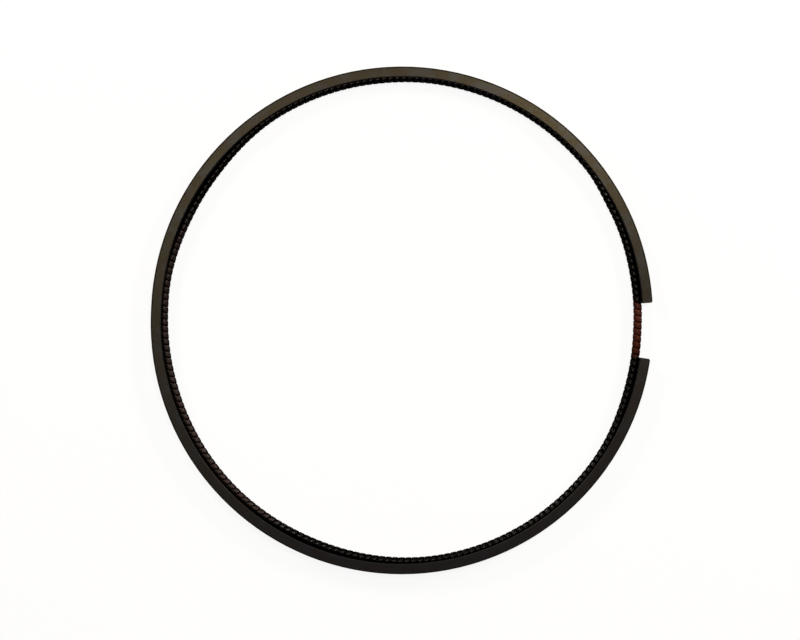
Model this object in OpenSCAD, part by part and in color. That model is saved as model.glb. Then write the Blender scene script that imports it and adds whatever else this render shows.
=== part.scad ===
// Spring-loaded oil control ring for a diesel cylinder, lying free on its lower side.
// The origin is the centre of the underside, +Z is the ring's axis and the end gap faces +X. Millimetres.

/* [Ring] */
// Bore of the cylinder that the closed ring seals
bore_d = 130; // [110:1:150]
// Axial height of the ring, side face to side face
ring_h = 4; // [3.5:0.1:5]
// Radial wall of the ring, from the lands to the inner face
ring_wall = 2.75; // [2.4:0.05:3.5]
// End gap of the free ring, across the outer corners of its ends
free_gap = 15; // [10:0.5:20]
// End gap that is left when the ring is closed in its bore
closed_gap = 0.5; // [0.2:0.05:1]
// How far each half of the free ring stands off the line through the gap
ring_spread = 0.75; // [0.25:0.05:1.5]
// Bevel across the outer corner of each end
end_bevel = 0.4; // [0.1:0.05:0.8]
// Bevel along the two inner edges
inner_bevel = 0.2; // [0.1:0.05:0.4]

/* [Running face] */
// Axial width of each of the two scraping lands
land_w = 0.5; // [0.3:0.05:0.6]
// Radial depth of the bevel outside each land
bevel_d = 0.35; // [0.15:0.05:0.5]
// Axial height of the bevel outside each land
bevel_h = 0.55; // [0.3:0.05:0.65]
// Radial depth of the oil channel between the lands
channel_d = 0.7; // [0.4:0.05:0.9]
// Axial run of each sloping side of the oil channel
channel_slope = 0.35; // [0.1:0.05:0.5]

/* [Oil slots] */
// Oil slots in each half of the ring
slot_count = 6; // [4:1:8]
// Angle from the middle of the gap to the first slot
slot_start = 26; // [20:1:40]
// Axial width of a slot
slot_w = 0.9; // [0.6:0.05:1.2]
// Radius of the disc cutter that mills the slots
cutter_r = 20; // [12:1:30]
// How far the cutter passes the bottom of the spring groove
slot_through = 0.5; // [0.2:0.05:0.55]

/* [Spring] */
// Thickness of the spring's flattened wire
wire_t = 0.55; // [0.4:0.05:0.7]
// Number of coils round the ring
coils = 230; // [180:1:280]
// Room between neighbouring coils, which lets the spring shorten as the ring closes
coil_clear = 0.15; // [0.15:0.05:0.4]
// Hand of the winding
coil_hand = "left"; // [left, right]
// Depth of the spring's groove in the inner face
groove_d = 1.15; // [0.8:0.05:1.15]
// Clearance between the coils and their groove
seat_clear = 0.1; // [0.08:0.01:0.15]
// Angle from the gap to the butted ends of the spring
joint_angle = 198; // [120:1:240]
// Clearance between the butted ends of the spring
joint_clear = 0.1; // [0.05:0.05:0.3]

/* [Joint wire] */
// Diameter of the core wire inside the coils at the joint
core_d = 0.9; // [0.5:0.05:1]
// Length of the core wire
core_len = 88; // [40:1:120]
// Clearance between the core wire and the coils round it
core_clear = 0.15; // [0.1:0.01:0.25]

/* [Hidden] */

$fa = 2;
$fs = 0.1;

// How far the relaxed spring stands off its seat, as [angle from the gap, stand-off]
spring_lay = [
    [0, 1.12], [10, 1.06], [30, 0.7], [42, 0], [84, 0], [100, 0.18], [122, 0.2], [146, 1.05], [154, 1.05],
    [174, 0.45], [202, 0.85], [225, 0.85], [246, 0.96], [282, 0.3], [326, 0.32], [349, 1.07], [360, 1.12],
];
// Sections along the whole spring, shared out among its coils
spring_sections = 1440;
// Sides of the core wire, and the length of each of its straight steps
core_sides = 8;
core_step = 2;
// How far a cut runs past the face that it leaves
cut_over = 1;

// The free ring is as long as the closed one, so its outline follows from the bore and the two gaps
ring_r = (PI * bore_d - closed_gap + free_gap - 4 * ring_spread) / (2 * PI);
inner_r = ring_r - ring_wall;
mid_h = ring_h / 2;
gap_angle = asin((free_gap / 2 - ring_spread) / ring_r);
channel_half = mid_h - bevel_h - land_w;
floor_half = channel_half - channel_slope;
slot_pitch = (180 - slot_start) / (slot_count - 0.5);

coil_d = core_d + 2 * core_clear + 2 * wire_t;
coil_r = (coil_d - wire_t) / 2;
groove_r = coil_d / 2 + seat_clear;
groove_bottom = inner_r + groove_d;
seat_r = groove_bottom - groove_r;
coil_pitch = 2 * PI * seat_r / coils;

// The flattened wire is swept round each coil in straight steps.
// Their corners stand out from the true coil as far as their middles stand in.
turn_steps = floor(spring_sections / coils);
step_r = coil_r * 2 / (1 + cos(180 / turn_steps));
wire_along = (coil_pitch - coil_clear) / 2;
wind = coil_hand == "left" ? 1 : -1;
// Share of the whole spring by which each of its ends stands back from the joint
end_back = joint_clear / 2 / (2 * PI * coil_r * coils);
core_half = core_len / 2 / seat_r * 180 / PI;

function ease(t) = t * t * (3 - 2 * t);

// Stand-off of the spring at an angle from the gap, eased from one entry of its lay to the next
function stand_off(angle) =
    let (a = angle - 360 * floor(angle / 360))
    let (i = max([for (k = [0 : len(spring_lay) - 2]) if (spring_lay[k][0] <= a) k]))
    let (from = spring_lay[i], to = spring_lay[i + 1])
    from[1] + (to[1] - from[1]) * ease((a - from[0]) / (to[0] - from[0]));

// Distance of the groove's centre line from the origin: a half circle about each half's own centre
function groove_line(a) = ring_spread * abs(sin(a)) + sqrt(pow(seat_r, 2) - pow(ring_spread * cos(a), 2));

// A point beside the spring's centre line: out from the ring's axis, up, and along the ring
function beside_line(a, out, up, along) =
    let (r = groove_line(a) - stand_off(a) + out)
    [r * cos(a) - along * sin(a), r * sin(a) + along * cos(a), mid_h + up];

// Corners of the wire where it has turned by so many degrees round the coil
function wire_section(a, turn) = [
    for (corner = [[-1, -1], [1, -1], [1, 1], [-1, 1]])
        let (r = step_r + corner[0] * wire_t / 2)
        beside_line(a, r * cos(turn), r * sin(turn), corner[1] * wire_along)
];

function round_section(a, r, sides) = [
    for (k = [0 : sides - 1]) beside_line(a, r * cos(360 * k / sides), r * sin(360 * k / sides), 0)
];

// A closed skin over sections that all have the same number of corners
module skin(sections) {
    n = len(sections[0]);
    last = len(sections) - 1;
    sides = [
        for (i = [0 : last - 1], k = [0 : n - 1])
            let (a = i * n + k, b = i * n + (k + 1) % n)
            each [[a, b, a + n], [b, b + n, a + n]]
    ];
    ends = [for (k = [1 : n - 2]) each [[0, k + 1, k], [last * n, last * n + k, last * n + k + 1]]];
    polyhedron(points = [for (s = sections) each s], faces = concat(sides, ends));
}

// Section of the ring's wall: x is the distance from the axis, y the height
module ring_section() {
    upper_half = [
        [ring_r - channel_d, floor_half],
        [ring_r, channel_half],
        [ring_r, channel_half + land_w],
        [ring_r - bevel_d, mid_h],
        [inner_r + inner_bevel, mid_h],
        [inner_r, mid_h - inner_bevel],
    ];
    lower_half = [for (k = [len(upper_half) - 1 : -1 : 0]) [upper_half[k][0], -upper_half[k][1]]];
    translate([0, mid_h])
        difference() {
            polygon(concat(upper_half, lower_half));
            translate([seat_r, 0]) circle(groove_r);
        }
}

// One half of the free ring, from its end round to the back, about its own centre
module ring_half() {
    translate([0, ring_spread, 0])
        difference() {
            rotate_extrude(angle = 180) ring_section();
            for (k = [0 : slot_count - 1]) rotate(slot_start + k * slot_pitch) oil_slot();
            rotate(gap_angle) end_cut();
        }
}

// The disc cutter's path through the web, from the outside into the spring groove
module oil_slot() {
    translate([groove_bottom - slot_through + cutter_r, 0, mid_h - slot_w / 2])
        cylinder(h = slot_w, r = cutter_r);
}

// What the end gap and the bevel take off a half whose end then lies along the x axis
module end_cut() {
    reach = free_gap / 2 + cut_over;
    translate([0, 0, -cut_over])
        linear_extrude(ring_h + 2 * cut_over)
            polygon([
                [inner_r - cut_over, 0],
                [ring_r - end_bevel, 0],
                [ring_r + cut_over, end_bevel + cut_over],
                [ring_r + cut_over, -reach],
                [inner_r - cut_over, -reach],
            ]);
}

// The short straight length at the back that joins the two halves
module ring_back() {
    translate([0, -ring_spread, 0]) rotate([90, 0, 180]) linear_extrude(2 * ring_spread) ring_section();
}

module ring_body() {
    color("#3e3a31")
        union() {
            ring_half();
            mirror([0, 1, 0]) ring_half();
            ring_back();
        }
}

module coil_spring() {
    steps = coils * turn_steps;
    color("#2b2725")
        skin([
            for (i = [0 : steps])
                let (t = end_back + (1 - 2 * end_back) * i / steps)
                wire_section(joint_angle + 360 * t, wind * 360 * coils * t)
        ]);
}

module joint_wire() {
    steps = ceil(core_len / core_step);
    color("#6a4a3a")
        skin([
            for (i = [0 : steps])
                round_section(joint_angle + core_half * (2 * i / steps - 1), core_d / 2, core_sides)
        ]);
}

ring_body();
coil_spring();
joint_wire();
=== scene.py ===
"""Looks of a coil-spring oil control piston ring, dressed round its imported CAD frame."""

import math

import bpy
import numpy as np
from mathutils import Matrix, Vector


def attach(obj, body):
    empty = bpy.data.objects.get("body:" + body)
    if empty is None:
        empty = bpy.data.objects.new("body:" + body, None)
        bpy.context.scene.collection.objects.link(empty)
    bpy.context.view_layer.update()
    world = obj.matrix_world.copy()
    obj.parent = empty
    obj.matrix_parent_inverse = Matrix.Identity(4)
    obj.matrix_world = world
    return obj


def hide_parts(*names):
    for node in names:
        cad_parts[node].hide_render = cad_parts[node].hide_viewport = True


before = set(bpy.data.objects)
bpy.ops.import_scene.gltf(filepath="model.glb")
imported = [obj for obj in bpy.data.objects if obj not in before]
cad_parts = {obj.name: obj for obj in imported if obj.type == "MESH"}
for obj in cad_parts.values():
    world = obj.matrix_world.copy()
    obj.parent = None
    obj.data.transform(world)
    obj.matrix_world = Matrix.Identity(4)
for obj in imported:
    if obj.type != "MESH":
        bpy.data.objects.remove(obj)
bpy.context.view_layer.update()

MM = 0.001

# Sizes that the ring's source gives, in millimetres and degrees
BORE_D = 130
RING_H = 4
RING_WALL = 2.75
FREE_GAP = 15
CLOSED_GAP = 0.5
RING_SPREAD = 0.75
INNER_BEVEL = 0.2
LAND_W = 0.5
BEVEL_D = 0.35
BEVEL_H = 0.55
WIRE_T = 0.55
COILS = 230
COIL_CLEAR = 0.15
GROOVE_D = 1.15
SEAT_CLEAR = 0.1
JOINT_ANGLE = 198
JOINT_CLEAR = 0.1
CORE_D = 0.9
CORE_LEN = 88
CORE_CLEAR = 0.15
# How far the relaxed spring stands off its seat, as (angle from the gap, stand-off)
SPRING_LAY = (
    (0, 1.12), (10, 1.06), (30, 0.7), (42, 0), (84, 0), (100, 0.18), (122, 0.2), (146, 1.05), (154, 1.05),
    (174, 0.45), (202, 0.85), (225, 0.85), (246, 0.96), (282, 0.3), (326, 0.32), (349, 1.07), (360, 1.12),
)

# Sizes that follow from them, as in the source
RING_R = (math.pi * BORE_D - CLOSED_GAP + FREE_GAP - 4 * RING_SPREAD) / (2 * math.pi)
INNER_R = RING_R - RING_WALL
MID_H = RING_H / 2
COIL_D = CORE_D + 2 * CORE_CLEAR + 2 * WIRE_T
COIL_R = (COIL_D - WIRE_T) / 2
SEAT_R = INNER_R + GROOVE_D - COIL_D / 2 - SEAT_CLEAR
COIL_PITCH = 2 * math.pi * SEAT_R / COILS
LEAD_ANGLE = math.atan(COIL_PITCH / (2 * math.pi * COIL_R))
WIRE_W = (COIL_PITCH - COIL_CLEAR) * math.cos(LEAD_ANGLE)
END_BACK = JOINT_CLEAR / 2 / (2 * math.pi * COIL_R * COILS)
CORE_HALF = math.degrees(CORE_LEN / 2 / SEAT_R)

# Fineness of the two wires
COIL_STEPS = 22
COIL_SIDES = 18
CORE_STEPS = 160
CORE_SIDES = 16
# How full the corners of a wire's section are
ROUND = 1
FLATTENED = 1.7
# An edge with a sharper bend than this, in degrees, isn't smoothed
SHARP_BEND = 60

# Finishes of the ring, in millimetres: a margin along the outer corners is kept dark and matt, as painted
# shade along the rim, and the lap fades out below the inner bevels
SHADED_MARGIN = 0.12
LAP_FADE = 0.04
# How far inside the lands grinding begins, and where it is full
GRIND_FROM = 0.07
GRIND_FULL = 0.03
# Crystals of the coat are about 0.02 mm: drawn larger, so that their grain shows
CRYSTAL = 0.3
CRYSTAL_H = 0.04
# Lapping and grinding marks are about 0.02 mm wide: drawn wider, so that they show
MARK_W = 0.2
MARK_LEN = 9
# Oil stands unevenly in the coat, in patches of this size
OIL_PATCH = 4

# Most values of a noise lie between these two
NOISE_LOW = 0.3
NOISE_HIGH = 0.7

# Roughness of the ring's coat, and the range of it on what is lapped or ground
MATT = 0.85
SATIN = (0.27, 0.33)
# Values of the oil's noise between which its film thickens, and the film's full weight
FILM_EDGES = (0.46, 0.64)
FILM_WEIGHT = 0.34
# Shine of the open coat, of the lapped one, and of the lapped one under the film
OPEN_SHINE = 0.01
LAPPED_SHINE = 0.26
OILED_SHINE = 0.14
# Values of the oil's noise between which it stains the lands, and the depth of the stain
STAIN_EDGES = (0.45, 0.75)
STAIN_DEPTH = 0.6
# Strength of the grain on the open coat, and on what is lapped or ground
OPEN_GRAIN = 0.6
TOOLED_GRAIN = 0.08

# Finishes of the spring, in millimetres: how far from the middle of the gap its brown begins,
# and where it is full
BROWN_FROM = 8.5
BROWN_FULL = 5.5
# How far from the ring's axis, towards the spring's joint, painted light and roughness on the coils begin,
# and where they are full
JOINT_SIDE_FROM = 40
JOINT_SIDE_FULL = 56
# Rolling marks along the wire are about 0.01 mm wide: drawn wider, so that they show
ROLL_MARK = 0.08
# Size of the patches in the spring's oxide, and in the tint of the core wire
OXIDE_PATCH = 4
TINT_PATCH = 6

# How far from its crown a coil carries its painted highlight, in half widths of the wire: most of them,
# those by the joint, where the painted light covers whole coils, and the soft edge of the highlight
CROWN_HIGHLIGHT = 0.45
JOINT_HIGHLIGHT = 1.5
HIGHLIGHT_FADE = 0.35
# Roughness of the rolled wire, of the coils scuffed by the joint, and of the brown ones in the gap
ROLLED = (0.2, 0.32)
SCUFFED = 0.42
BROWNED = 0.55

# The table, in millimetres: far wider than the picture, and just clear of the ring's underside
TABLE_HALF = 40000
TABLE_DROP = 0.02
# How strongly it shows its own white, beside the part of it that takes the shadow
TABLE_WHITE = 0.9

# The picture, in pixels: its width, its scale at the upper land, and where the ring's axis stands,
# right of and above its middle
IMAGE_W = 800
PX_PER_MM = 3.758
CENTRE_PX = (1.84, -0.4)
# The camera's lens and sensor in millimetres, and its turn in degrees
LENS_MM = 100
SENSOR_MM = 36
VIEW_TURN = 2.4

# Soft lamps, as (name, place, width and height, power), in millimetres and watts
LAMPS = (
    # Two above the far side of the ring, the right one stronger
    ("right_lamp", (132, 175, 600), (100, 100), 1.18),
    ("left_lamp", (-70, 60, 600), (100, 100), 0.36),
    # Two wide low ones that reach across the ring to its near side
    ("low_right_lamp", (448, 314, 320), (300, 120), 2.5),
    ("low_left_lamp", (-378, 391, 320), (300, 120), 2.4),
)
LAMP_COLOUR = "#fff6e4"

# Light of the room at the horizon and overhead, and the heights between which it dims:
# 0 is level, and 1 straight up
HORIZON_LIGHT = 0.3
CEILING_LIGHT = 0.1
DIM_FROM = 0.05
DIM_FULL = 0.8

# Sockets of a mix node go by number, because its values and its colours share their names
FACTOR = 0
VALUE_A = 2
VALUE_B = 3
COLOUR_A = 6
COLOUR_B = 7
MIXED_COLOUR = 2


def ease(t):
    """A smooth step from 0 to 1."""
    return t * t * (3 - 2 * t)


def stand_off(angle):
    """Stand-off of the spring at an angle from the gap, eased from one entry of its lay to the next."""
    turned = np.mod(angle, 360)
    marks = np.array([entry[0] for entry in SPRING_LAY], float)
    rises = np.array([entry[1] for entry in SPRING_LAY], float)
    i = np.clip(np.searchsorted(marks, turned, side="right") - 1, 0, len(marks) - 2)
    t = (turned - marks[i]) / (marks[i + 1] - marks[i])
    return rises[i] + (rises[i + 1] - rises[i]) * ease(t)


def beside_line(angle, out, up):
    """Points beside the spring's centre line: out from the ring's axis, and up. Millimetres."""
    a = np.radians(angle)
    groove = RING_SPREAD * np.abs(np.sin(a)) + np.sqrt(SEAT_R**2 - (RING_SPREAD * np.cos(a)) ** 2)
    r = groove - stand_off(angle) + out
    return np.stack([r * np.cos(a), r * np.sin(a), MID_H + up + 0 * a], axis=-1)


def unit(vectors):
    """Each vector at length 1."""
    return vectors / np.linalg.norm(vectors, axis=-1, keepdims=True)


def wire_section(thickness, width, fullness, sides):
    """Section of a wire, outwards and sideways: an oval at a fullness of 1, fuller in its corners above."""
    turn = np.arange(sides) * 2 * math.pi / sides
    out = np.sign(np.cos(turn)) * np.abs(np.cos(turn)) ** (1 / fullness)
    beside = np.sign(np.sin(turn)) * np.abs(np.sin(turn)) ** (1 / fullness)
    return out * thickness / 2, beside * width / 2


def drawn_wire(name, line, outward, section):
    """A smooth wire of one section along a line of points, cut square at both ends. Millimetres."""
    along = unit(np.gradient(line, axis=0))
    across = unit(outward - along * np.sum(outward * along, axis=-1, keepdims=True))
    beside = np.cross(along, across)
    sides = len(section[0])
    rim = across[:, None] * section[0][None, :, None] + beside[:, None] * section[1][None, :, None]
    points = (line[:, None] + rim).reshape(-1, 3) * MM

    start = np.arange(len(line) - 1)[:, None] * sides
    corner = np.arange(sides)[None]
    following = (corner + 1) % sides
    quads = np.stack(
        [start + corner, start + following, start + sides + following, start + sides + corner], axis=-1
    ).reshape(-1, 4)
    last = (len(line) - 1) * sides
    first_end = list(range(sides - 1, -1, -1))
    last_end = list(range(last, last + sides))

    mesh = bpy.data.meshes.new(name)
    mesh.from_pydata(points.tolist(), [], quads.tolist() + [first_end, last_end])
    mesh.polygons.foreach_set("use_smooth", [True] * len(mesh.polygons))
    mesh.set_sharp_from_angle(angle=math.radians(SHARP_BEND))
    # How far each point lies from the middle of the wire's face: 0 on the crown, 1 on the edges
    off_crown = mesh.attributes.new("off_crown", "FLOAT", "POINT")
    off_crown.data.foreach_set("value", np.tile(np.abs(section[1]) / np.abs(section[1]).max(), len(line)))
    mesh.update()
    piece = bpy.data.objects.new(name, mesh)
    bpy.context.scene.collection.objects.link(piece)
    return piece


def expander_spring():
    """The expander: one left-hand coil bent into a hoop, its ends butted at the back of the ring."""
    t = np.linspace(END_BACK, 1 - END_BACK, COILS * COIL_STEPS + 1)
    angle = JOINT_ANGLE + 360 * t
    turn = 2 * math.pi * COILS * t
    line = beside_line(angle, COIL_R * np.cos(turn), COIL_R * np.sin(turn))
    outward = line - beside_line(angle, 0, 0)
    return drawn_wire("expander_spring", line, outward, wire_section(WIRE_T, WIRE_W, FLATTENED, COIL_SIDES))


def core_wire():
    """The core wire that bridges the butted ends of the spring."""
    angle = JOINT_ANGLE + CORE_HALF * np.linspace(-1, 1, CORE_STEPS + 1)
    line = beside_line(angle, 0, 0)
    outward = np.tile([0.0, 0.0, 1.0], (len(line), 1))
    return drawn_wire("core_wire", line, outward, wire_section(CORE_D, CORE_D, ROUND, CORE_SIDES))


def linear(hex_colour):
    """An sRGB hex colour as linear red, green, blue and alpha."""
    parts = [int(hex_colour[i : i + 2], 16) / 255 for i in (1, 3, 5)]
    return tuple(c / 12.92 if c <= 0.04045 else ((c + 0.055) / 1.055) ** 2.4 for c in parts) + (1.0,)


def per_mm(size_mm):
    """The scale of a texture whose features are this many millimetres apart."""
    return 1 / (size_mm * MM)


def add(tree, kind, inputs=None, **settings):
    """Adds a node with its settings. An input is a value, or the output of another node."""
    made = tree.nodes.new(kind)
    for name, value in settings.items():
        setattr(made, name, value)
    for name, value in (inputs or {}).items():
        if isinstance(value, bpy.types.NodeSocket):
            tree.links.new(value, made.inputs[name])
        else:
            made.inputs[name].default_value = value
    return made


def new_material(name):
    """An empty material and its node tree."""
    material = bpy.data.materials.new(name)
    material.use_nodes = True
    material.node_tree.nodes.clear()
    return material, material.node_tree


def ring_places(tree, at):
    """Distance from the axis of a place's own half of the ring, and the place as out, round and up."""
    beside = add(tree, "ShaderNodeMath", {0: at.outputs["Y"]}, operation="ABSOLUTE")
    off_axis = add(
        tree,
        "ShaderNodeMath",
        {0: beside.outputs[0], 1: RING_SPREAD * MM},
        operation="SUBTRACT",
    )
    spoke = add(tree, "ShaderNodeCombineXYZ", {0: at.outputs["X"], 1: off_axis.outputs[0]})
    radius = add(tree, "ShaderNodeVectorMath", {0: spoke.outputs[0]}, operation="LENGTH")
    turn = add(tree, "ShaderNodeMath", {0: beside.outputs[0], 1: at.outputs["X"]}, operation="ARCTAN2")
    arc = add(tree, "ShaderNodeMath", {0: turn.outputs[0], 1: RING_R * MM}, operation="MULTIPLY")
    round_ring = add(
        tree,
        "ShaderNodeCombineXYZ",
        {0: radius.outputs["Value"], 1: arc.outputs[0], 2: at.outputs["Z"]},
    )
    return radius.outputs["Value"], round_ring.outputs[0]


def ring_finishes(tree, at, radius):
    """Where the ring is lapped, on its sides, ground, on its lands, and darkened as painted shade, on its
    bevels.
    """
    above_middle = add(tree, "ShaderNodeMath", {0: at.outputs["Z"], 1: MID_H * MM}, operation="SUBTRACT")
    off_middle = add(tree, "ShaderNodeMath", {0: above_middle.outputs[0]}, operation="ABSOLUTE")
    level = add(
        tree,
        "ShaderNodeMapRange",
        {
            "Value": off_middle.outputs[0],
            "From Min": (MID_H - INNER_BEVEL - LAP_FADE) * MM,
            "From Max": (MID_H - INNER_BEVEL) * MM,
        },
        interpolation_type="SMOOTHSTEP",
    )
    # Painted shade: the sides stay unlapped, dark and matt, in a margin along their outer corners
    inside_margin = add(
        tree,
        "ShaderNodeMapRange",
        {
            "Value": radius,
            "From Min": (RING_R - BEVEL_D) * MM,
            "From Max": (RING_R - BEVEL_D - SHADED_MARGIN) * MM,
        },
        interpolation_type="SMOOTHSTEP",
    )
    lapped = add(
        tree,
        "ShaderNodeMath",
        {0: level.outputs[0], 1: inside_margin.outputs[0]},
        operation="MULTIPLY",
    )
    ground = add(
        tree,
        "ShaderNodeMapRange",
        {"Value": radius, "From Min": (RING_R - GRIND_FROM) * MM, "From Max": (RING_R - GRIND_FULL) * MM},
        interpolation_type="SMOOTHSTEP",
    )
    # Painted shade: above the lands the coat is made near black, which shows on the bevels
    painted_rim_shade = add(
        tree,
        "ShaderNodeMapRange",
        {
            "Value": off_middle.outputs[0],
            "From Min": (MID_H - BEVEL_H - LAND_W) * MM,
            "From Max": (MID_H - BEVEL_H) * MM,
        },
        interpolation_type="SMOOTHSTEP",
    )
    return lapped.outputs[0], ground.outputs[0], painted_rim_shade.outputs[0]


def ring_colour(tree, finishes, crystals, oil, marks):
    """Colour of the coat, grey where it is open, near black on the bevels as painted shade, and dark where
    it is lapped, and of the lands.
    """
    lapped, ground, painted_rim_shade = finishes
    open_coat = add(
        tree,
        "ShaderNodeMix",
        {FACTOR: crystals, COLOUR_A: linear("#25221e"), COLOUR_B: linear("#423d36")},
        data_type="RGBA",
    )
    # Near black where the rim takes painted shade, grey in the channel, slots and groove
    coat = add(
        tree,
        "ShaderNodeMix",
        {FACTOR: painted_rim_shade, COLOUR_A: open_coat.outputs[MIXED_COLOUR], COLOUR_B: linear("#161512")},
        data_type="RGBA",
    )
    pressed = add(
        tree,
        "ShaderNodeMix",
        {FACTOR: oil, COLOUR_A: linear("#0f0d13"), COLOUR_B: linear("#0f131c")},
        data_type="RGBA",
    )
    dark = add(
        tree,
        "ShaderNodeMix",
        {FACTOR: lapped, COLOUR_A: coat.outputs[MIXED_COLOUR], COLOUR_B: pressed.outputs[MIXED_COLOUR]},
        data_type="RGBA",
    )
    bare_iron = add(
        tree,
        "ShaderNodeMix",
        {FACTOR: marks, COLOUR_A: linear("#55514b"), COLOUR_B: linear("#a39d94")},
        data_type="RGBA",
    )
    stain = add(
        tree,
        "ShaderNodeMapRange",
        {"Value": oil, "From Min": STAIN_EDGES[0], "From Max": STAIN_EDGES[1], "To Max": STAIN_DEPTH},
        interpolation_type="SMOOTHSTEP",
    )
    bright = add(
        tree,
        "ShaderNodeMix",
        {FACTOR: stain.outputs[0], COLOUR_A: bare_iron.outputs[MIXED_COLOUR], COLOUR_B: linear("#4d4236")},
        data_type="RGBA",
    )
    colour = add(
        tree,
        "ShaderNodeMix",
        {FACTOR: ground, COLOUR_A: dark.outputs[MIXED_COLOUR], COLOUR_B: bright.outputs[MIXED_COLOUR]},
        data_type="RGBA",
    )
    return colour.outputs[MIXED_COLOUR]


def phosphated_cast_iron():
    """Grey cast iron, turned and slotted, phosphated all over, lapped on its sides and ground on its lands.

    The phosphate is a coat of fine crystals that holds oil. It keeps a grey, open grain in the channel,
    slots and groove. On the bevels it is near black and matt: the coat is dark, and it is darkened further
    there as painted shade, so that the outer rim reads dark. Lapping presses it to a dark satin on the two
    sides, with a straw sheen and patches of clear oil. Grinding bares the lands to bright iron, with fine
    marks along them and some brown stain.
    """
    material, tree = new_material("phosphated_cast_iron")
    place = add(tree, "ShaderNodeTexCoord")
    at = add(tree, "ShaderNodeSeparateXYZ", {0: place.outputs["Object"]})
    radius, round_ring = ring_places(tree, at)
    finishes = ring_finishes(tree, at, radius)
    lapped, ground, _ = finishes

    crystals = add(
        tree,
        "ShaderNodeTexNoise",
        {"Vector": place.outputs["Object"], "Scale": per_mm(CRYSTAL), "Detail": 4, "Roughness": 0.6},
    )
    oil = add(
        tree,
        "ShaderNodeTexNoise",
        {"Vector": place.outputs["Object"], "Scale": per_mm(OIL_PATCH), "Detail": 3, "Roughness": 0.55},
    )
    stretched = add(
        tree,
        "ShaderNodeVectorMath",
        {0: round_ring, 1: (per_mm(MARK_W), per_mm(MARK_LEN), per_mm(MARK_W))},
        operation="MULTIPLY",
    )
    marks = add(tree, "ShaderNodeTexNoise", {"Vector": stretched.outputs[0], "Scale": 1, "Detail": 2})
    colour = ring_colour(tree, finishes, crystals.outputs["Fac"], oil.outputs["Fac"], marks.outputs["Fac"])

    satin = add(
        tree,
        "ShaderNodeMapRange",
        {
            "Value": marks.outputs["Fac"],
            "From Min": NOISE_LOW,
            "From Max": NOISE_HIGH,
            "To Min": SATIN[0],
            "To Max": SATIN[1],
        },
    )
    coat_roughness = add(tree, "ShaderNodeMix", {FACTOR: lapped, VALUE_A: MATT, VALUE_B: satin.outputs[0]})
    roughness = add(
        tree,
        "ShaderNodeMix",
        {FACTOR: ground, VALUE_A: coat_roughness.outputs[0], VALUE_B: satin.outputs[0]},
    )

    # Where the oil stands thick on a side, its own clear sheen takes over from the straw one of the coat
    film = add(
        tree,
        "ShaderNodeMapRange",
        {"Value": oil.outputs["Fac"], "From Min": FILM_EDGES[0], "From Max": FILM_EDGES[1]},
        interpolation_type="SMOOTHSTEP",
    )
    film_weight = add(tree, "ShaderNodeMapRange", {"Value": film.outputs[0], "To Max": FILM_WEIGHT})
    oiled = add(tree, "ShaderNodeMath", {0: film_weight.outputs[0], 1: lapped}, operation="MULTIPLY")
    sheen = add(
        tree,
        "ShaderNodeMapRange",
        {"Value": film.outputs[0], "To Min": LAPPED_SHINE, "To Max": OILED_SHINE},
    )
    shine = add(tree, "ShaderNodeMix", {FACTOR: lapped, VALUE_A: OPEN_SHINE, VALUE_B: sheen.outputs[0]})

    tooled = add(tree, "ShaderNodeMath", {0: lapped, 1: ground}, operation="MAXIMUM")
    grain_strength = add(
        tree,
        "ShaderNodeMapRange",
        {"Value": tooled.outputs[0], "To Min": OPEN_GRAIN, "To Max": TOOLED_GRAIN},
    )
    grain = add(
        tree,
        "ShaderNodeBump",
        {
            "Height": crystals.outputs["Fac"],
            "Strength": grain_strength.outputs[0],
            "Distance": CRYSTAL_H * MM,
        },
    )
    surface = add(
        tree,
        "ShaderNodeBsdfPrincipled",
        {
            "Base Color": colour,
            "Metallic": ground,
            "Roughness": roughness.outputs[0],
            "Normal": grain.outputs[0],
            "Specular IOR Level": shine.outputs[0],
            "Specular Tint": linear("#ffe8b2"),
            "Coat Weight": oiled.outputs[0],
            "Coat Roughness": 0.3,
            "Coat IOR": 1.45,
        },
    )
    add(tree, "ShaderNodeOutputMaterial", {"Surface": surface.outputs[0]})
    return material


def spring_regions(tree, place, at):
    """Where the spring is brown, in the open gap, and where its coils are painted paler as painted light, by
    its joint.
    """
    beside = add(tree, "ShaderNodeMath", {0: at.outputs["Y"]}, operation="ABSOLUTE")
    near_gap = add(
        tree,
        "ShaderNodeMapRange",
        {"Value": beside.outputs[0], "From Min": BROWN_FROM * MM, "From Max": BROWN_FULL * MM},
        interpolation_type="SMOOTHSTEP",
    )
    front = add(tree, "ShaderNodeMath", {0: at.outputs["X"], 1: 0.0}, operation="GREATER_THAN")
    in_gap = add(
        tree,
        "ShaderNodeMath",
        {0: near_gap.outputs[0], 1: front.outputs[0]},
        operation="MULTIPLY",
    )
    joint = math.radians(JOINT_ANGLE)
    towards_joint = add(
        tree,
        "ShaderNodeVectorMath",
        {0: place.outputs["Object"], 1: (math.cos(joint), math.sin(joint), 0)},
        operation="DOT_PRODUCT",
    )
    # Where the coils by the joint are painted paler, as painted light, and made rougher
    by_joint = add(
        tree,
        "ShaderNodeMapRange",
        {
            "Value": towards_joint.outputs["Value"],
            "From Min": JOINT_SIDE_FROM * MM,
            "From Max": JOINT_SIDE_FULL * MM,
        },
        interpolation_type="SMOOTHSTEP",
    )
    return in_gap.outputs[0], by_joint.outputs[0]


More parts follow.
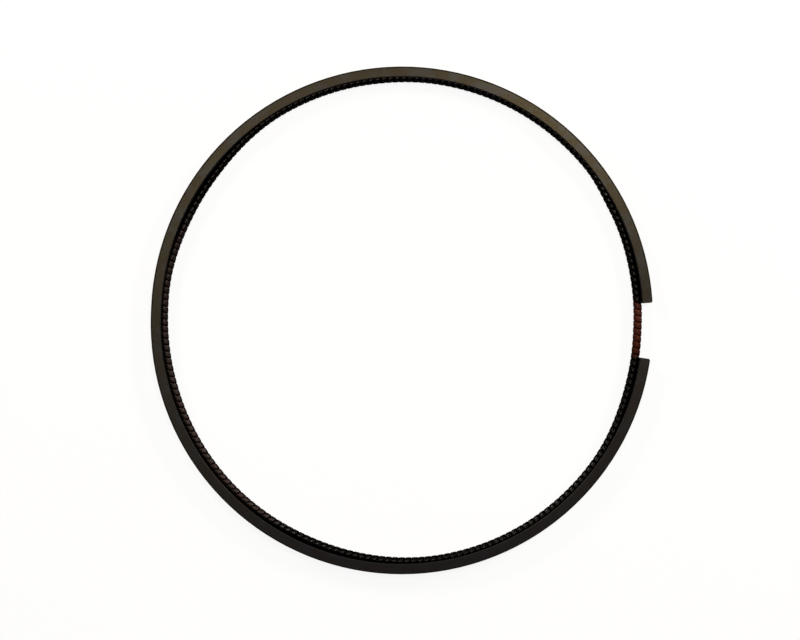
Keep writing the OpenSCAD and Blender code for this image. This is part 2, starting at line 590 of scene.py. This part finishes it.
def spring_colour(tree, place, at, off_crown, in_gap, by_joint):
    """Colour of the oxide, of the painted highlight on the crowns, and of the brown in the gap."""
    # Painted highlight: the crown of each coil is lighter than its flanks, and by the joint whole coils are,
    # as painted light
    highlight_edge = add(
        tree,
        "ShaderNodeMapRange",
        {"Value": by_joint, "To Min": CROWN_HIGHLIGHT, "To Max": JOINT_HIGHLIGHT},
    )
    highlight_middle = add(tree, "ShaderNodeMath", {0: highlight_edge.outputs[0], 1: HIGHLIGHT_FADE}, operation="SUBTRACT")
    crown_highlight = add(
        tree,
        "ShaderNodeMapRange",
        {"Value": off_crown, "From Min": highlight_edge.outputs[0], "From Max": highlight_middle.outputs[0]},
        interpolation_type="SMOOTHSTEP",
    )
    patches = add(
        tree,
        "ShaderNodeTexNoise",
        {"Vector": place.outputs["Object"], "Scale": per_mm(OXIDE_PATCH), "Detail": 3},
    )
    oxide = add(
        tree,
        "ShaderNodeMix",
        {FACTOR: patches.outputs["Fac"], COLOUR_A: linear("#0e0c0c"), COLOUR_B: linear("#131110")},
        data_type="RGBA",
    )
    # Colour of the painted highlight
    crown = add(
        tree,
        "ShaderNodeMix",
        {FACTOR: by_joint, COLOUR_A: linear("#232222"), COLOUR_B: linear("#2a2322")},
        data_type="RGBA",
    )
    black = add(
        tree,
        "ShaderNodeMix",
        {
            FACTOR: crown_highlight.outputs[0],
            COLOUR_A: oxide.outputs[MIXED_COLOUR],
            COLOUR_B: crown.outputs[MIXED_COLOUR],
        },
        data_type="RGBA",
    )
    # The brown is lighter towards the upper end of the gap and darker towards the lower one
    across_gap = add(
        tree,
        "ShaderNodeMapRange",
        {"Value": at.outputs["Y"], "From Min": -FREE_GAP / 2 * MM, "From Max": FREE_GAP / 2 * MM},
    )
    brown = add(
        tree,
        "ShaderNodeMix",
        {FACTOR: across_gap.outputs[0], COLOUR_A: linear("#351912"), COLOUR_B: linear("#4d2b22")},
        data_type="RGBA",
    )
    colour = add(
        tree,
        "ShaderNodeMix",
        {FACTOR: in_gap, COLOUR_A: black.outputs[MIXED_COLOUR], COLOUR_B: brown.outputs[MIXED_COLOUR]},
        data_type="RGBA",
    )
    return colour.outputs[MIXED_COLOUR]


def blackened_spring_wire():
    """Spring steel wire, rolled flat, coiled and oil blackened, with brown temper colours in the open gap.

    A dark metal, with a painted highlight along the crown of each coil and a dark edge tint that keeps its
    flanks darker still as painted shade. By the joint, whole coils are painted paler, as painted light, and
    are rougher. In the gap a matt red-brown oxide spreads the highlight.
    """
    material, tree = new_material("blackened_spring_wire")
    place = add(tree, "ShaderNodeTexCoord")
    at = add(tree, "ShaderNodeSeparateXYZ", {0: place.outputs["Object"]})
    off_crown = add(tree, "ShaderNodeAttribute", attribute_name="off_crown")
    in_gap, by_joint = spring_regions(tree, place, at)
    colour = spring_colour(tree, place, at, off_crown.outputs["Fac"], in_gap, by_joint)

    roll_marks = add(
        tree,
        "ShaderNodeTexNoise",
        {"W": off_crown.outputs["Fac"], "Scale": WIRE_W / 2 / ROLL_MARK, "Detail": 2},
        noise_dimensions="1D",
    )
    rolled = add(
        tree,
        "ShaderNodeMapRange",
        {
            "Value": roll_marks.outputs["Fac"],
            "From Min": NOISE_LOW,
            "From Max": NOISE_HIGH,
            "To Min": ROLLED[0],
            "To Max": ROLLED[1],
        },
    )
    scuffed = add(tree, "ShaderNodeMix", {FACTOR: by_joint, VALUE_A: rolled.outputs[0], VALUE_B: SCUFFED})
    roughness = add(tree, "ShaderNodeMix", {FACTOR: in_gap, VALUE_A: scuffed.outputs[0], VALUE_B: BROWNED})
    surface = add(
        tree,
        "ShaderNodeBsdfPrincipled",
        {
            "Base Color": colour,
            "Metallic": 1.0,
            "Roughness": roughness.outputs[0],
            # A dark edge tint keeps the flanks dark at a glancing view: painted shade
            "Specular Tint": linear("#3a322e"),
        },
    )
    add(tree, "ShaderNodeOutputMaterial", {"Surface": surface.outputs[0]})
    return material


def tinted_core_wire():
    """Drawn steel wire, tempered in air: a dark satin metal with a brown tint that wavers along it."""
    material, tree = new_material("tinted_core_wire")
    place = add(tree, "ShaderNodeTexCoord")
    patches = add(
        tree,
        "ShaderNodeTexNoise",
        {"Vector": place.outputs["Object"], "Scale": per_mm(TINT_PATCH), "Detail": 2},
    )
    colour = add(
        tree,
        "ShaderNodeMix",
        {FACTOR: patches.outputs["Fac"], COLOUR_A: linear("#171210"), COLOUR_B: linear("#201915")},
        data_type="RGBA",
    )
    surface = add(
        tree,
        "ShaderNodeBsdfPrincipled",
        {
            "Base Color": colour.outputs[MIXED_COLOUR],
            "Metallic": 1.0,
            "Roughness": 0.4,
            # The same dark edge tint: painted shade on the flanks
            "Specular Tint": linear("#3a322e"),
        },
    )
    add(tree, "ShaderNodeOutputMaterial", {"Surface": surface.outputs[0]})
    return material


def white_table():
    """Matt white table: plain white to the eye and in the metal, with the ring's faint shadow on it."""
    material, tree = new_material("white_table")
    path = add(tree, "ShaderNodeLightPath")
    seen = add(
        tree,
        "ShaderNodeMath",
        {0: path.outputs["Is Camera Ray"], 1: path.outputs["Is Glossy Ray"]},
        operation="MAXIMUM",
    )
    seen_through = add(
        tree,
        "ShaderNodeMath",
        {0: seen.outputs[0], 1: path.outputs["Is Transmission Ray"]},
        operation="MAXIMUM",
    )
    white = add(tree, "ShaderNodeEmission", {"Color": linear("#ffffff"), "Strength": TABLE_WHITE})
    shaded = add(tree, "ShaderNodeBsdfDiffuse", {"Color": linear("#595959")})
    to_the_eye = add(tree, "ShaderNodeAddShader", {0: white.outputs[0], 1: shaded.outputs[0]})
    to_the_light = add(tree, "ShaderNodeBsdfDiffuse", {"Color": linear("#e7e7e7")})
    surface = add(
        tree,
        "ShaderNodeMixShader",
        {0: seen_through.outputs[0], 1: to_the_light.outputs[0], 2: to_the_eye.outputs[0]},
    )
    add(tree, "ShaderNodeOutputMaterial", {"Surface": surface.outputs[0]})
    return material


def lay_table():
    """The table that the ring lies on."""
    mesh = bpy.data.meshes.new("table")
    half = TABLE_HALF * MM
    corners = [(x * half, y * half, -TABLE_DROP * MM) for x, y in ((-1, -1), (1, -1), (1, 1), (-1, 1))]
    mesh.from_pydata(corners, [], [(0, 1, 2, 3)])
    mesh.materials.append(white_table())
    laid = bpy.data.objects.new("table", mesh)
    bpy.context.scene.collection.objects.link(laid)
    return laid


def set_camera():
    """A camera that looks straight down, at the height that gives the picture its scale at the upper land.

    It is turned so that the gap lies a little below the middle of the right side.
    """
    height = RING_H - BEVEL_H + LENS_MM / SENSOR_MM * IMAGE_W / PX_PER_MM
    turn = math.radians(VIEW_TURN)
    right = Vector((math.cos(turn), math.sin(turn), 0))
    upward = Vector((-math.sin(turn), math.cos(turn), 0))
    aside = (right * -CENTRE_PX[0] + upward * -CENTRE_PX[1]) / PX_PER_MM
    data = bpy.data.cameras.new("camera")
    data.lens = LENS_MM
    data.sensor_width = SENSOR_MM
    camera = bpy.data.objects.new("camera", data)
    camera.location = (aside + Vector((0, 0, height))) * MM
    camera.rotation_euler = (0, 0, turn)
    bpy.context.scene.collection.objects.link(camera)
    bpy.context.scene.camera = camera


def soft_lamp(name, place, size, power):
    """A soft oval lamp of this width and height that faces the ring."""
    data = bpy.data.lights.new(name, "AREA")
    data.shape = "ELLIPSE"
    data.size = size[0] * MM
    data.size_y = size[1] * MM
    data.energy = power
    data.color = linear(LAMP_COLOUR)[:3]
    lamp = bpy.data.objects.new(name, data)
    lamp.location = Vector(place) * MM
    lamp.rotation_euler = (-Vector(place)).to_track_quat("-Z", "Y").to_euler()
    bpy.context.scene.collection.objects.link(lamp)


def pale_room():
    """A pale room with a dim ceiling: light at the horizon, grey overhead."""
    world = bpy.data.worlds.new("pale_room")
    world.use_nodes = True
    tree = world.node_tree
    tree.nodes.clear()
    facing = add(tree, "ShaderNodeTexCoord")
    height = add(tree, "ShaderNodeSeparateXYZ", {0: facing.outputs["Generated"]})
    light = add(
        tree,
        "ShaderNodeMapRange",
        {
            "Value": height.outputs["Z"],
            "From Min": DIM_FROM,
            "From Max": DIM_FULL,
            "To Min": HORIZON_LIGHT,
            "To Max": CEILING_LIGHT,
        },
        interpolation_type="SMOOTHSTEP",
    )
    room = add(tree, "ShaderNodeBackground", {"Color": linear("#ffffff"), "Strength": light.outputs[0]})
    add(tree, "ShaderNodeOutputWorld", {"Surface": room.outputs[0]})
    bpy.context.scene.world = world


# The pieces: the ring keeps its CAD solid, and the two wires get finer, rounded ones
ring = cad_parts["ring_body"]
spring = expander_spring()
core = core_wire()
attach(spring, "root")
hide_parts("coil_spring")
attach(core, "root")
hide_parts("joint_wire")

ring.material_slots[0].material = phosphated_cast_iron()
spring.data.materials.append(blackened_spring_wire())
core.data.materials.append(tinted_core_wire())

# The stage
table = lay_table()
set_camera()
for lamp in LAMPS:
    soft_lamp(*lamp)
pale_room()
bpy.context.scene.view_settings.view_transform = "Standard"
